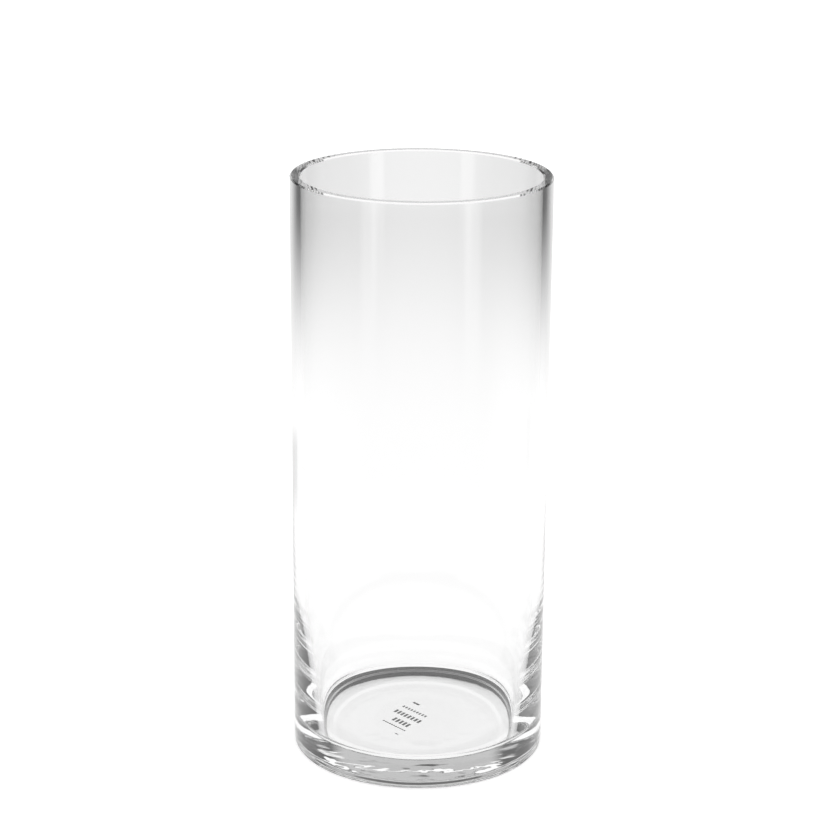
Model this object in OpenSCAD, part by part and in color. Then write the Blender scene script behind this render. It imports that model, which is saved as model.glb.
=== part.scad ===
// Glass cylinder vase: a straight clear tube with a flat polished rim, a wall that
// thickens towards the foot and a solid base, and the clear film label stuck under it.
// Millimetres. +Z is up, and the origin is on the axis in the plane it stands on.

/* [Body] */
// Outside diameter of the cylinder
outer_d = 100; // [70:1:200]
// Height from the table to the rim
height = 232; // [120:1:400]
// Thickness of the wall in its straight part
wall = 4; // [3:0.1:8]

/* [Rim] */
// Width of the small chamfer on each edge of the rim
rim_chamfer = 0.6; // [0.2:0.1:1.2]

/* [Base] */
// Thickness of the base, from the table to the inside floor
base_t = 6.9; // [5:0.1:20]
// Reach of the inside curve, from the flat floor out to the wall
curve_w = 15; // [4:0.1:18]
// Rise of that curve above the floor
curve_h = 5; // [2:0.1:18]
// How much thicker the wall is at the top of that curve
heel = 4.5; // [0.5:0.1:6]
// Height over which the wall thins to its straight part
heel_h = 52; // [20:1:80]
// How gently the wall starts to thicken: 1 is a straight taper
heel_ease = 1.4; // [1:0.1:3]

/* [Foot] */
// Radius of the outside corner at the foot
foot_r = 0.8; // [0.4:0.1:3]
// Width of the flat ring that the vase stands on
stand_w = 3; // [2:0.5:10]
// Depth of the shallow hollow under the base
hollow = 0.9; // [0.3:0.1:2]
// Width of the sloping edge of that hollow
hollow_slope = 4; // [1:0.5:8]

/* [Label] */
// Diameter of the round film label
label_d = 36; // [15:1:40]
// Thickness of the film
label_t = 0.15; // [0.1:0.05:0.3]

/* [Hidden] */
$fn = 180;

// Steps along each curve of the wall's outline
curve_steps = 12;

outer_r = outer_d / 2;
bore_r = outer_r - wall;
heel_r = bore_r - heel;
floor_r = heel_r - curve_w;
curve_top = base_t + curve_h;
heel_top = curve_top + heel_h;
stand_outer_r = outer_r - foot_r;
stand_inner_r = stand_outer_r - stand_w;
hollow_r = stand_inner_r - hollow_slope;

// Points on an elliptic arc about c with half-axes s, from angle a to angle b
function arc(c, s, a, b) =
    [for (i = [0:curve_steps])
        let (t = a + (b - a) * i / curve_steps)
        [c.x + s.x * cos(t), c.y + s.y * sin(t)]];

// Points from p down to q, leaving p along its upright line
function taper(p, q) =
    [for (i = [1:curve_steps - 1])
        let (t = i / curve_steps)
        [p.x + (q.x - p.x) * pow(t, heel_ease), p.y + (q.y - p.y) * t]];

// Half of the underside and the outside, from the axis to the rim
outside = concat(
    [[0, hollow], [hollow_r, hollow], [stand_inner_r, 0]],
    arc([stand_outer_r, foot_r], [foot_r, foot_r], -90, 0),
    [[outer_r, height - rim_chamfer], [outer_r - rim_chamfer, height]]
);

// Half of the inside, from the rim down to the floor
inside = concat(
    [[bore_r + rim_chamfer, height], [bore_r, height - rim_chamfer], [bore_r, heel_top]],
    taper([bore_r, heel_top], [heel_r, curve_top]),
    arc([floor_r, curve_top], [curve_w, curve_h], 0, -90),
    [[0, base_t]]
);

// The glass: one solid of revolution, open at the top
module vase_body() {
    color([0.86, 0.88, 0.88, 0.4])
        rotate_extrude()
            polygon(concat(outside, inside));
}

// The film label, stuck to the ceiling of the hollow
module base_label() {
    color([0.93, 0.94, 0.94, 0.6])
        translate([0, 0, hollow - label_t])
            cylinder(d = label_d, h = label_t);
}

vase_body();
base_label();
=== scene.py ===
"""A tall clear glass cylinder vase with a film label under its base, on a white studio sweep."""

import math

import bmesh
import bpy
from mathutils import Matrix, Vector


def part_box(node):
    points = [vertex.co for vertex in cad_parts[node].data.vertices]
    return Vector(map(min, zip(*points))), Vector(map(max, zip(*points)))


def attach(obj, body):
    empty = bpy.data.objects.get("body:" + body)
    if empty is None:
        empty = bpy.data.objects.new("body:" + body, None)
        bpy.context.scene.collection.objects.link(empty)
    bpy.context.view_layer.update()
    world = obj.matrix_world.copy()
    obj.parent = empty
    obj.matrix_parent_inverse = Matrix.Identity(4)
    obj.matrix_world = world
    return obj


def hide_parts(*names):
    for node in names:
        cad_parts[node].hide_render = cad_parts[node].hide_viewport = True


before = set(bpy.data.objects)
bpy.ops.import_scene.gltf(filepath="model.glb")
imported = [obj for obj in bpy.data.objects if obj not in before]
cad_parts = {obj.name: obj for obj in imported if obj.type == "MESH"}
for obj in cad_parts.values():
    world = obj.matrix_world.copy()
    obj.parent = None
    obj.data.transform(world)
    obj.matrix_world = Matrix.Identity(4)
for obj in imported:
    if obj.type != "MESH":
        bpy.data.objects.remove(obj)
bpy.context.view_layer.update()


# --- Vase -------------------------------------------------------------------------------
# One piece of clear soda-lime glass: a straight tube whose wall thickens towards the foot,
# on a solid base with a rounded inside corner and a shallow hollow under it. It is blown
# in a mould, and its rim is cut flat, chamfered and polished.

vase_low, vase_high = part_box("vase_body")
outer_radius = vase_high.x
vase_height = vase_high.z - vase_low.z
wall = 0.004
rim_chamfer = 0.0006
base_thickness = 0.0069
curve_reach = 0.015
curve_rise = 0.005
heel = 0.0045
heel_height = 0.052
heel_ease = 1.4
foot_radius = 0.0008
stand_width = 0.003
hollow_depth = 0.0009
hollow_slope = 0.004
core_radius = 0.002
round_steps = 400
smooth_angle = math.radians(30)

bore_radius = outer_radius - wall
heel_radius = bore_radius - heel
floor_radius = heel_radius - curve_reach
curve_top = base_thickness + curve_rise
heel_top = curve_top + heel_height
stand_outer = outer_radius - foot_radius
stand_inner = stand_outer - stand_width
hollow_radius = stand_inner - hollow_slope


def blend_points(start, end, steps, radius_share=lambda t: t, height_share=lambda t: t):
    """Outline points after start and up to end, each as a radius and a height."""
    return [
        (
            start[0] + (end[0] - start[0]) * radius_share(i / steps),
            start[1] + (end[1] - start[1]) * height_share(i / steps),
        )
        for i in range(1, steps + 1)
    ]


def quarter_sine(t):
    return math.sin(t * math.pi / 2)


def quarter_cosine(t):
    return 1 - math.cos(t * math.pi / 2)


def half_wave(t):
    return (1 - math.cos(t * math.pi)) / 2


def eased(t):
    return t**heel_ease


# Half of the vase's outline: out along the underside, up the outside and down the inside
outline = blend_points((core_radius, hollow_depth), (hollow_radius, hollow_depth), steps=34)
outline += blend_points(outline[-1], (stand_inner, 0), steps=8, height_share=half_wave)
outline += blend_points(outline[-1], (stand_outer, 0), steps=4)
outline += blend_points(
    outline[-1],
    (outer_radius, foot_radius),
    steps=6,
    radius_share=quarter_sine,
    height_share=quarter_cosine,
)
outline += blend_points(outline[-1], (outer_radius, heel_top), steps=62)
outline += blend_points(outline[-1], (outer_radius, vase_height - rim_chamfer), steps=4)
outline += [(outer_radius - rim_chamfer, vase_height)]
outline += [(bore_radius + rim_chamfer, vase_height)]
outline += [(bore_radius, vase_height - rim_chamfer)]
outline += blend_points(outline[-1], (bore_radius, heel_top), steps=4)
outline += blend_points(outline[-1], (heel_radius, curve_top), steps=36, radius_share=eased)
outline += blend_points(
    outline[-1],
    (floor_radius, base_thickness),
    steps=24,
    radius_share=quarter_cosine,
    height_share=quarter_sine,
)
outline += blend_points(outline[-1], (core_radius, base_thickness), steps=10)

bpy.ops.object.select_all(action="DESELECT")
bpy.ops.mesh.primitive_circle_add(
    vertices=round_steps, radius=core_radius, fill_type="NGON", location=(0, 0, hollow_depth)
)
vase = bpy.context.object
vase.name = "vase"
bpy.ops.object.transform_apply()
bpy.ops.object.mode_set(mode="EDIT")
bpy.ops.mesh.select_all(action="SELECT")
radius_now, height_now = core_radius, hollow_depth
for radius_next, height_next in outline:
    rise = (0, 0, height_next - height_now)
    grow = radius_next / radius_now
    bpy.ops.mesh.extrude_region_move(TRANSFORM_OT_translate={"value": rise})
    bpy.ops.transform.resize(value=(grow, grow, 1), center_override=(0, 0, 0))
    radius_now, height_now = radius_next, height_next
bpy.ops.mesh.select_all(action="DESELECT")
edit_mesh = bmesh.from_edit_mesh(vase.data)
for face in edit_mesh.faces:
    face.select = len(face.verts) > 4
bmesh.update_edit_mesh(vase.data)
bpy.ops.mesh.poke()
bpy.ops.mesh.select_all(action="SELECT")
bpy.ops.mesh.normals_make_consistent(inside=False)
bpy.ops.object.mode_set(mode="OBJECT")
bpy.ops.object.shade_smooth_by_angle(angle=smooth_angle)

# The mould leaves the thick glass near the foot slightly wavy, and its underside uneven,
# most of all under the front. Each depth is that of the deepest mark.
pattern_detail = 3
wave_depth = 0.00002
wave_size = 0.03
wave_full = 0.02
wave_end = 0.075
chill_depth = 0.0004
chill_size = 0.012
chill_end = 0.004
chill_inner = 0.018
chill_outer = 0.038
chill_fade = 0.004
label_share = 0.2
ring_share = 0.45
calm_front = -0.025
calm_back = -0.01
calm_share = 0.3


def make_wavy(piece, name, depth, size, rest_level, share):
    """Push the surface in and out by a soft random pattern, as strongly as share(x, y, z) says."""
    bpy.ops.object.empty_add(location=(0, 0, 0))
    pattern_frame = bpy.context.object
    bpy.ops.object.select_all(action="DESELECT")
    piece.select_set(True)
    bpy.context.view_layer.objects.active = piece
    bpy.context.view_layer.update()
    group = piece.vertex_groups.new(name=name)
    for vertex in piece.data.vertices:
        group.add([vertex.index], share(*vertex.co), "REPLACE")
    pattern = bpy.data.textures.new(name, "CLOUDS")
    pattern.noise_scale = size
    pattern.noise_depth = pattern_detail
    push = piece.modifiers.new(name, "DISPLACE")
    push.texture = pattern
    push.texture_coords = "OBJECT"
    push.texture_coords_object = pattern_frame
    push.vertex_group = group.name
    push.strength = depth
    push.mid_level = rest_level
    bpy.ops.object.modifier_apply(modifier=push.name)
    bpy.data.objects.remove(pattern_frame)


def wall_share(x, y, z):
    """Full on the outside near the foot, fading upwards."""
    outside = math.hypot(x, y) > stand_outer and z > foot_radius / 2
    return max(0, min(1, (wave_end - z) / (wave_end - wave_full))) if outside else 0


def foot_share(x, y, z):
    """Full under the front of the hollow, less at the label, the ring and the back."""
    away = math.hypot(x, y)
    front = max(0, min(1, (calm_back - y) / (calm_back - calm_front)))
    strength = calm_share + (1 - calm_share) * front
    if away > stand_outer:
        return strength * ring_share * max(0, 1 - z / chill_end)
    if z > chill_end:
        return 0
    if away < (chill_inner + chill_outer) / 2:
        inwards = max(0, min(1, (away - chill_inner) / chill_fade))
        return strength * (label_share + (1 - label_share) * inwards)
    outwards = max(0, min(1, (chill_outer - away) / chill_fade))
    return strength * (ring_share + (1 - ring_share) * outwards)


make_wavy(vase, "mould waves", wave_depth, wave_size, 0.5, wall_share)
make_wavy(vase, "chill marks", chill_depth, chill_size, 1, foot_share)

# Clean glass, scuffed where it stands, with a fine skin of ripples round the foot
scuff_top = 0.0006
scuff_size = 900
scuff_detail = 3
scuff_low = 0.54
scuff_high = 0.68
scuff_roughness = 0.12
ripple_low = 0.003
ripple_high = 0.013
ripple_size = 320
ripple_detail = 2
ripple_depth = 0.000003
glass_colour = (0.99, 0.99, 0.99, 1)
glass_ior = 1.5


def number_node(tree, operation, first, second=0.0):
    """The output of a Math node on two numbers or sockets."""
    node = tree.nodes.new("ShaderNodeMath")
    node.operation = operation
    for socket, value in zip(node.inputs, (first, second)):
        if isinstance(value, (int, float)):
            socket.default_value = value
        else:
            tree.links.new(value, socket)
    return node.outputs[0]


def soft_step(tree, value, low, high, low_out=0.0, high_out=1.0):
    """A smooth step from low_out to high_out as value goes from low to high."""
    node = tree.nodes.new("ShaderNodeMapRange")
    node.interpolation_type = "SMOOTHSTEP"
    tree.links.new(value, node.inputs["Value"])
    node.inputs["From Min"].default_value = low
    node.inputs["From Max"].default_value = high
    node.inputs["To Min"].default_value = low_out
    node.inputs["To Max"].default_value = high_out
    return node.outputs["Result"]


glass = bpy.data.materials.new("clear glass")
glass.use_nodes = True
tree = glass.node_tree
glass_shader = tree.nodes["Principled BSDF"]
place = tree.nodes.new("ShaderNodeTexCoord").outputs["Object"]
split = tree.nodes.new("ShaderNodeSeparateXYZ")
tree.links.new(place, split.inputs[0])
specks = tree.nodes.new("ShaderNodeTexNoise")
specks.inputs["Scale"].default_value = scuff_size
specks.inputs["Detail"].default_value = scuff_detail
tree.links.new(place, specks.inputs["Vector"])
worn = soft_step(tree, specks.outputs[0], scuff_low, scuff_high, 0, scuff_roughness)
standing = soft_step(tree, split.outputs[2], 0, scuff_top, 1, 0)
scuffs = number_node(tree, "MULTIPLY", worn, standing)
tree.links.new(scuffs, glass_shader.inputs["Roughness"])
ripples = tree.nodes.new("ShaderNodeTexNoise")
ripples.inputs["Scale"].default_value = ripple_size
ripples.inputs["Detail"].default_value = ripple_detail
tree.links.new(place, ripples.inputs["Vector"])
round_foot = soft_step(tree, split.outputs[2], ripple_low, ripple_high, 1, 0)
skin = tree.nodes.new("ShaderNodeBump")
skin.inputs["Strength"].default_value = 1
skin.inputs["Distance"].default_value = ripple_depth
ripple_height = number_node(tree, "MULTIPLY", ripples.outputs[0], round_foot)
tree.links.new(ripple_height, skin.inputs["Height"])
tree.links.new(skin.outputs[0], glass_shader.inputs["Normal"])
glass_shader.inputs["Base Color"].default_value = glass_colour
glass_shader.inputs["IOR"].default_value = glass_ior
glass_shader.inputs["Transmission Weight"].default_value = 1
vase.data.materials.clear()
vase.data.materials.append(glass)

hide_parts("vase_body")
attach(vase, "root")


# --- Base label -------------------------------------------------------------------------
# A round clear film stuck to the ceiling of the hollow, printed in dark grey with a few
# rows of plain bars. It is stuck on by hand, so its print lies askew.

label_low, label_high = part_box("base_label")
label_radius = label_high.x
label_steps = 96
film_gap = 0.00002
film_round = 0.00003
film_round_steps = 2
film_colour = (0.93, 0.93, 0.93, 1)
film_grain_size = 400
film_grain_low = 0.35
film_grain_high = 0.65
film_ranges = {"Roughness": (0.2, 0.4), "Alpha": (0.004, 0.014)}

bpy.ops.object.select_all(action="DESELECT")
bpy.ops.mesh.primitive_cylinder_add(
    vertices=label_steps,
    radius=label_radius,
    depth=label_high.z - label_low.z - film_gap,
    end_fill_type="NGON",
    location=(0, 0, (label_high.z + label_low.z - film_gap) / 2),
)
label = bpy.context.object
label.name = "base_film"
bpy.ops.object.transform_apply()
bpy.ops.object.mode_set(mode="EDIT")
edit_mesh = bmesh.from_edit_mesh(label.data)
for edge in edit_mesh.edges:
    edge.select = abs(edge.verts[0].co.z - edge.verts[1].co.z) < film_gap
bmesh.update_edit_mesh(label.data)
bpy.ops.mesh.bevel(offset=film_round, segments=film_round_steps)
bpy.ops.object.mode_set(mode="OBJECT")

film = bpy.data.materials.new("label film")
film.use_nodes = True
film_nodes, film_links = film.node_tree.nodes, film.node_tree.links
film_shader = film_nodes["Principled BSDF"]
film_shader.inputs["Base Color"].default_value = film_colour
film_place = film_nodes.new("ShaderNodeTexCoord").outputs["Object"]
film_grain = film_nodes.new("ShaderNodeTexNoise")
film_grain.inputs["Scale"].default_value = film_grain_size
film_links.new(film_place, film_grain.inputs["Vector"])
for name, (low, high) in film_ranges.items():
    spread = film_nodes.new("ShaderNodeMapRange")
    spread.inputs["From Min"].default_value = film_grain_low
    spread.inputs["From Max"].default_value = film_grain_high
    spread.inputs["To Min"].default_value = low
    spread.inputs["To Max"].default_value = high
    film_links.new(film_grain.outputs[0], spread.inputs["Value"])
    film_links.new(spread.outputs["Result"], film_shader.inputs[name])
label.data.materials.clear()
label.data.materials.append(film)

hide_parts("base_label")
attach(label, "root")

# Each row of print: where its middle is across and down the block, its length, the height
# of its bars, how many there are, and the share of the length that is inked
print_turn = math.radians(-42)
print_rows = [
    (-0.0088, -0.0088, 0.0035, 0.0011, 1, 1),
    (-0.0049, -0.0034, 0.0140, 0.0014, 9, 0.55),
    (-0.0043, 0.0016, 0.0150, 0.0026, 8, 0.6),
    (-0.0029, 0.0070, 0.0095, 0.0028, 5, 0.6),
    (-0.0033, 0.0110, 0.0130, 0.0007, 11, 0.7),
    (0.0020, 0.0150, 0.0016, 0.0005, 1, 1),
]
bar_round = 0.00012
bar_round_steps = 2
ink_height = 0.00002
ink_roughness = 0.6
ink_grain_size = 1500
ink_dark = (0.04, 0.04, 0.04, 1)
ink_pale = (0.12, 0.12, 0.12, 1)

bpy.ops.object.select_all(action="DESELECT")
first_bar = True
for across, down, row_length, bar_height, bar_count, inked in print_rows:
    pitch = row_length / bar_count
    for number in range(bar_count):
        bpy.ops.mesh.primitive_cube_add(
            size=1,
            location=(
                across + (number + 0.5) * pitch - row_length / 2,
                -down,
                label_low.z - ink_height / 2,
            ),
            scale=(pitch * inked, bar_height, ink_height),
        )
        if first_bar:
            bars = bpy.context.object
            bars.name = "base_print"
            bpy.ops.object.transform_apply()
            bpy.ops.object.mode_set(mode="EDIT")
            first_bar = False
bpy.ops.mesh.select_all(action="SELECT")
bpy.ops.transform.rotate(value=-print_turn, orient_axis="Z", center_override=(0, 0, 0))
bpy.ops.mesh.select_all(action="DESELECT")
edit_mesh = bmesh.from_edit_mesh(bars.data)
for edge in edit_mesh.edges:
    edge.select = abs(edge.verts[0].co.z - edge.verts[1].co.z) > ink_height / 2
bmesh.update_edit_mesh(bars.data)
bpy.ops.mesh.bevel(offset=bar_round, segments=bar_round_steps)
bpy.ops.object.mode_set(mode="OBJECT")

ink = bpy.data.materials.new("printing ink")
ink.use_nodes = True
ink_nodes, ink_links = ink.node_tree.nodes, ink.node_tree.links
ink_shader = ink_nodes["Principled BSDF"]
ink_shader.inputs["Roughness"].default_value = ink_roughness
ink_place = ink_nodes.new("ShaderNodeTexCoord").outputs["Object"]
ink_grain = ink_nodes.new("ShaderNodeTexNoise")
ink_grain.inputs["Scale"].default_value = ink_grain_size
ink_links.new(ink_place, ink_grain.inputs["Vector"])
ink_shades = ink_nodes.new("ShaderNodeMix")
ink_shades.data_type = "RGBA"
ink_shades.inputs["A"].default_value = ink_dark
ink_shades.inputs["B"].default_value = ink_pale
ink_links.new(ink_grain.outputs[0], ink_shades.inputs["Factor"])
ink_links.new(ink_shades.outputs["Result"], ink_shader.inputs["Base Color"])
bars.data.materials.clear()
bars.data.materials.append(ink)

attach(bars, "root")


# --- Studio -----------------------------------------------------------------------------
# A white paper sweep under and round the vase, in a dim room with a few pale panels. The
# camera sees paper and room plain white, and the room lights the paper evenly white. The dim
# room and its panels, and the pale and dark zones on the paper, are painted light and shade
# that only reflections and the glass show. Far out and low down both are pale again, so that
# the glass stays clear from any side.

# Levels are shares of white. An arc is the bearing of its middle, half its width and the
# width of its soft edge, in degrees, and 90 is straight behind the vase.
sweep_size = 12
paper_colour = 0.8
paper_glow = 0.5

# The paper near the foot, as the glass sees it: painted shade under the foot, with a soft
# painted shadow from the foot on both sides in front, painted light a little above white
# round the foot, and painted shade further out in front
foot_shade_level = 0.93
foot_shade_inner = 0.043
foot_shade_outer = 0.05
shadows = [(230, 13, 9, 0.85), (313, 13, 9, 0.8)]
shadow_rise = (0.0462, 0.0474)
shadow_fall = (0.0515, 0.054)
near_level = 1.05
front_arc = (265, 62, 30)
front_share = 0.78
front_low = 0.08
front_high = 0.3

# The paper further out as the glass sees it: pale behind with a faint painted shade straight
# behind, painted shade at the sides, and two strips of painted light in front
behind_arc = (90, 3, 35)
back_level = 0.92
back_end = 0.955
back_near = 0.92
back_far = 1.0
shoulder_arc = (90, 0.5, 4)
shoulder_share = 0.93
side_shade_level = 0.13
strips = [(224, 5, 4, 0.95), (315, 5, 4, 1.1)]
falling_arc = (90, 22, 14)
near_radius = 0.36
far_radius = 0.92
side_near = 0.45
side_far = 1.05
open_level = 0.96
open_near = 1.1
open_far = 2.1
clear_arc = (90, 40, 20)
edge_arc = (116.5, 5, 5)
edge_share = 0.32
edge_rise = (0.25, 0.33)
edge_fall = (0.38, 0.44)

# The room as only reflections and the glass see it, painted reflection and shade: arcs low
# over the horizon, and panels with their lowest and highest elevation
sky_level = 0.09
horizon_low = 6
horizon_high = 12
horizon_arcs = [(30, 18, 14, 0.8), (132, 8, 8, 0.85), (230, 12, 10, 0.5)]
panels = [
    (90, 26, 12, 0.52, 20, 33),
    (55, 5, 7, 1.0, 20, 24),
    (125, 5, 7, 1.0, 20, 24),
    (178, 24, 12, 0.2, 18, 30),
]
panel_edge = 2
open_low = 6
open_high = 9


def sector(tree, bearing, centre, half, fade, level):
    """level within half degrees of the centre bearing, fading to 0 outside."""
    turned = number_node(tree, "SUBTRACT", bearing, math.radians(centre))
    nearness = number_node(tree, "COSINE", turned)
    outer = math.cos(math.radians(half + fade))
    inner = math.cos(math.radians(half))
    return soft_step(tree, nearness, outer, inner, 0, level)


def band(tree, value, rise, fall):
    """1 from the end of one soft step to the start of the other, and 0 outside both."""
    low_side = soft_step(tree, value, *rise)
    high_side = soft_step(tree, value, *fall, 1, 0)
    return number_node(tree, "MULTIPLY", low_side, high_side)


def blend(tree, share, first, second):
    """first where share is 0 and second where it is 1."""
    node = tree.nodes.new("ShaderNodeMix")
    node.data_type = "FLOAT"
    tree.links.new(share, node.inputs["Factor"])
    for socket, value in ((node.inputs["A"], first), (node.inputs["B"], second)):
        if isinstance(value, (int, float)):
            socket.default_value = value
        else:
            tree.links.new(value, socket)
    return node.outputs["Result"]


bpy.ops.object.select_all(action="DESELECT")
bpy.ops.mesh.primitive_plane_add(size=sweep_size, location=(0, 0, 0))
sweep = bpy.context.object
sweep.name = "sweep"

paper = bpy.data.materials.new("white sweep")
paper.use_nodes = True
tree = paper.node_tree
tree.nodes.clear()
place = tree.nodes.new("ShaderNodeTexCoord").outputs["Object"]
length = tree.nodes.new("ShaderNodeVectorMath")
length.operation = "LENGTH"
tree.links.new(place, length.inputs[0])
distance = length.outputs["Value"]
split = tree.nodes.new("ShaderNodeSeparateXYZ")
tree.links.new(place, split.inputs[0])
bearing = number_node(tree, "ARCTAN2", split.outputs[1], split.outputs[0])

# The glow that the glass sees on the paper: painted light and painted shade by distance and
# bearing
back_fall = soft_step(tree, distance, back_near, back_far, back_level, back_end)
behind = sector(tree, bearing, *behind_arc, 1)
shoulder = blend(tree, sector(tree, bearing, *shoulder_arc, 1), shoulder_share, 1)
back_fall = number_node(tree, "MULTIPLY", back_fall, shoulder)
far_level = blend(tree, behind, side_shade_level, back_fall)
for strip in strips:
    far_level = number_node(tree, "MAXIMUM", far_level, sector(tree, bearing, *strip))
# Painted light round the foot, a little above white, less a painted shade further out in front
in_front = sector(tree, bearing, *front_arc, 1 - front_share)
front_fall = soft_step(tree, distance, front_low, front_high)
front_fall = number_node(tree, "MULTIPLY", in_front, front_fall)
ground_level = number_node(tree, "SUBTRACT", near_level, front_fall)
straight_out = soft_step(tree, distance, near_radius, far_radius)
falling = blend(
    tree,
    sector(tree, bearing, *falling_arc, 1),
    soft_step(tree, distance, side_near, side_far),
    straight_out,
)
floor_level = blend(tree, falling, ground_level, far_level)
far_out = soft_step(tree, distance, open_near, open_far)
floor_level = blend(tree, far_out, floor_level, open_level)

# What is seen straight through the glass off to the side is pale, unlike what it reflects,
# and only in a reflection there is a soft shade that draws the left edge of the wall
light_path = tree.nodes.new("ShaderNodeLightPath")
seen_through = number_node(tree, "LESS_THAN", light_path.outputs["Glossy Depth"], 0.5)
aside = number_node(tree, "SUBTRACT", 1, sector(tree, bearing, *clear_arc, 1))
aside = number_node(tree, "MULTIPLY", aside, straight_out)
clear = number_node(tree, "MULTIPLY", seen_through, aside)
floor_level = blend(tree, clear, floor_level, open_level)
edge_shade = sector(tree, bearing, *edge_arc, edge_share)
edge_band = band(tree, distance, edge_rise, edge_fall)
edge_shade = number_node(tree, "MULTIPLY", edge_shade, edge_band)
reflected = number_node(tree, "SUBTRACT", 1, seen_through)
edge_shade = number_node(tree, "MULTIPLY", edge_shade, reflected)
unshaded = number_node(tree, "SUBTRACT", 1, edge_shade)
floor_level = number_node(tree, "MULTIPLY", floor_level, unshaded)

# Painted shadow on both sides in front, just outside the foot, and painted shade under it
shade = 0
for shadow in shadows:
    shade = number_node(tree, "ADD", shade, sector(tree, bearing, *shadow))
shade = number_node(tree, "MULTIPLY", shade, band(tree, distance, shadow_rise, shadow_fall))
shade_under_vase = soft_step(tree, distance, foot_shade_inner, foot_shade_outer, foot_shade_level, 1)
floor_level = number_node(tree, "MULTIPLY", floor_level, shade_under_vase)
unshaded = number_node(tree, "SUBTRACT", 1, shade)
floor_level = number_node(tree, "MULTIPLY", floor_level, unshaded)

# The camera sees the paper's even glow and its matt white with the real shadow; every other ray
# sees only the painted glow above
is_camera = light_path.outputs["Is Camera Ray"]
glow = tree.nodes.new("ShaderNodeEmission")
glow_level = blend(tree, is_camera, floor_level, paper_glow)
tree.links.new(glow_level, glow.inputs["Strength"])
matt = tree.nodes.new("ShaderNodeBsdfDiffuse")
matt.inputs["Color"].default_value = (paper_colour, paper_colour, paper_colour, 1)
both = tree.nodes.new("ShaderNodeAddShader")
tree.links.new(glow.outputs[0], both.inputs[0])
tree.links.new(matt.outputs[0], both.inputs[1])
chosen = tree.nodes.new("ShaderNodeMixShader")
tree.links.new(is_camera, chosen.inputs[0])
tree.links.new(glow.outputs[0], chosen.inputs[1])
tree.links.new(both.outputs[0], chosen.inputs[2])
surface = tree.nodes.new("ShaderNodeOutputMaterial")
tree.links.new(chosen.outputs[0], surface.inputs["Surface"])
sweep.data.materials.append(paper)

room = bpy.data.worlds.new("studio")
bpy.context.scene.world = room
room.use_nodes = True
tree = room.node_tree
tree.nodes.clear()
split = tree.nodes.new("ShaderNodeSeparateXYZ")
tree.links.new(tree.nodes.new("ShaderNodeTexCoord").outputs["Generated"], split.inputs[0])
bearing = number_node(tree, "ARCTAN2", split.outputs[1], split.outputs[0])
elevation = number_node(tree, "ARCSINE", split.outputs[2])
low_down = soft_step(tree, elevation, math.radians(horizon_low), math.radians(horizon_high), 1, 0)
wall_level = sky_level
for arc in horizon_arcs:
    wall_level = number_node(tree, "MAXIMUM", wall_level, sector(tree, bearing, *arc))
room_level = blend(tree, low_down, sky_level, wall_level)
for angle, half, fade, level, bottom, top in panels:
    rise = (math.radians(bottom - panel_edge), math.radians(bottom + panel_edge))
    fall = (math.radians(top - panel_edge), math.radians(top + panel_edge))
    panel = sector(tree, bearing, angle, half, fade, level)
    panel = number_node(tree, "MULTIPLY", panel, band(tree, elevation, rise, fall))
    room_level = number_node(tree, "MAXIMUM", room_level, panel)
light_path = tree.nodes.new("ShaderNodeLightPath")
low_sky = soft_step(tree, elevation, math.radians(open_low), math.radians(open_high), 1, 0)
room_level = blend(tree, low_sky, room_level, open_level)
# To the camera and to diffuse light the room is plain white, so it lights the paper evenly
is_camera = light_path.outputs["Is Camera Ray"]
is_diffuse = light_path.outputs["Is Diffuse Ray"]
room_level = blend(tree, number_node(tree, "MAXIMUM", is_camera, is_diffuse), room_level, 1)
background = tree.nodes.new("ShaderNodeBackground")
tree.links.new(room_level, background.inputs["Strength"])
background.inputs["Color"].default_value = (1, 1, 1, 1)
surface = tree.nodes.new("ShaderNodeOutputWorld")
tree.links.new(background.outputs[0], surface.inputs["Surface"])


# --- Camera -----------------------------------------------------------------------------
# A long lens a little under a metre in front of the vase and above its rim. It is turned
# down to the middle of the vase and rolled by less than half a degree.

camera_distance = 0.8925
camera_height = 0.42257
camera_lens = 102.94
camera_pitch = 0.3124
camera_roll = 0.0076
light_bounces = 96
bpy.ops.object.camera_add()
camera = bpy.context.object
camera.data.lens = camera_lens
camera.data.sensor_width = 36
camera.data.clip_start = 0.01
camera.matrix_world = (
    Matrix.Translation((0, -camera_distance, camera_height))
    @ Matrix.Rotation(math.pi / 2 - camera_pitch, 4, "X")
    @ Matrix.Rotation(camera_roll, 4, "Z")
)
scene = bpy.context.scene
scene.camera = camera
scene.view_settings.view_transform = "Standard"
scene.cycles.max_bounces = light_bounces
scene.cycles.transmission_bounces = light_bounces
scene.cycles.glossy_bounces = light_bounces
scene.cycles.use_denoising = True
